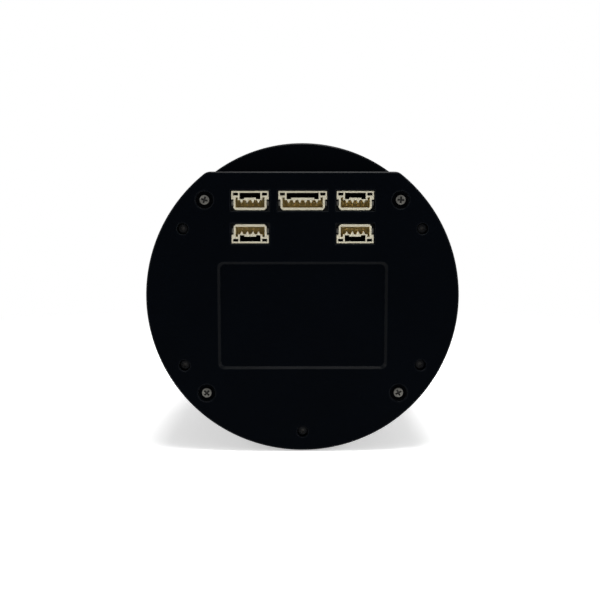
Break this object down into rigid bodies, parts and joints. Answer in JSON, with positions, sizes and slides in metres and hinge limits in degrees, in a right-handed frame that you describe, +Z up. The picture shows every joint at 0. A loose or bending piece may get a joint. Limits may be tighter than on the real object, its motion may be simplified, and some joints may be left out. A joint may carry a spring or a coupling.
{
  "type": "cooled astronomy camera",
  "caption": "Round anodised camera body with a flat-topped rear cover of cream wire headers, a fan-cooled heatsink, a cooled sensor behind a window and a threaded front flange.",
  "frame": {"origin": "on the optical axis, on the front face of the flange that meets the telescope", "axes": "+Y along the optical axis towards the telescope, +Z up towards the flat top of the rear cover"},
  "size_m": [0.07, 0.065, 0.07],
  "materials": {
    "black_anodised": "matt blue-black anodised",
    "cream_nylon": "moulded nylon",
    "steel": "bright nickel plated",
    "black_steel": "black oxide",
    "board_green": "solder mask on glass epoxy",
    "brass": "machined",
    "fan_plastic": "moulded",
    "copper": "bare copper",
    "bare_aluminium": "machined",
    "white_ceramic": "fired ceramic",
    "sensor_ceramic": "fired ceramic",
    "glass": "coated and polished",
    "black_rubber": "moulded",
    "amber_film": "polyimide film",
    "red_wire": "insulated wire",
    "black_wire": "insulated wire"
  },
  "bodies": {
    "camera": {"board_standoff_1": "brass", "board_standoff_2": "brass", "board_standoff_3": "brass", "board_standoff_4": "brass", "body_screw_1": "black_steel", "body_screw_2": "black_steel", "body_screw_3": "black_steel", "body_screw_4": "black_steel", "body_screw_5": "black_steel", "chamber_base": "black_anodised", "chamber_o_ring": "black_rubber", "cold_finger": "copper", "cooling_body": "black_anodised", "cover_screw_1": "steel", "cover_screw_2": "steel", "cover_screw_3": "steel", "cover_screw_4": "steel", "desiccant_plug": "black_anodised", "fan_bearing": "brass", "fan_frame": "fan_plastic", "fan_lead": "black_wire", "fan_screw_1": "steel", "fan_screw_2": "steel", "fan_screw_3": "steel", "fan_screw_4": "steel", "fan_stator": "copper", "front_housing": "black_anodised", "front_plate": "black_anodised", "front_plate_screw_1": "black_steel", "front_plate_screw_2": "black_steel", "front_plate_screw_3": "black_steel", "front_plate_screw_4": "black_steel", "header_lower_left": "cream_nylon", "header_lower_right": "cream_nylon", "header_upper_left": "cream_nylon", "header_upper_middle": "cream_nylon", "header_upper_right": "cream_nylon", "heatsink": "bare_aluminium", "housing_screw_1": "black_steel", "housing_screw_2": "black_steel", "housing_screw_3": "black_steel", "io_board": "board_green", "main_board": "board_green", "rear_cover": "black_anodised", "sensor_board": "board_green", "sensor_board_screw_1": "steel", "sensor_board_screw_2": "steel", "sensor_board_screw_3": "steel", "sensor_glass": "glass", "sensor_package": "sensor_ceramic", "sensor_ribbon": "amber_film", "tec_lead_1": "red_wire", "tec_lead_2": "black_wire", "thermoelectric_cooler": "white_ceramic", "window_glass": "glass", "window_o_ring": "black_rubber", "window_retaining_ring": "black_anodised"},
    "fan_impeller": {"fan_rotor": "fan_plastic", "fan_shaft": "steel"}
  },
  "joints": [
    {"name": "fan_spin", "type": "hinge", "parent": "camera", "child": "fan_impeller", "pos_m": [0, -0.0417, 0], "axis": [0, 1, 0], "continuous": true}
  ]
}
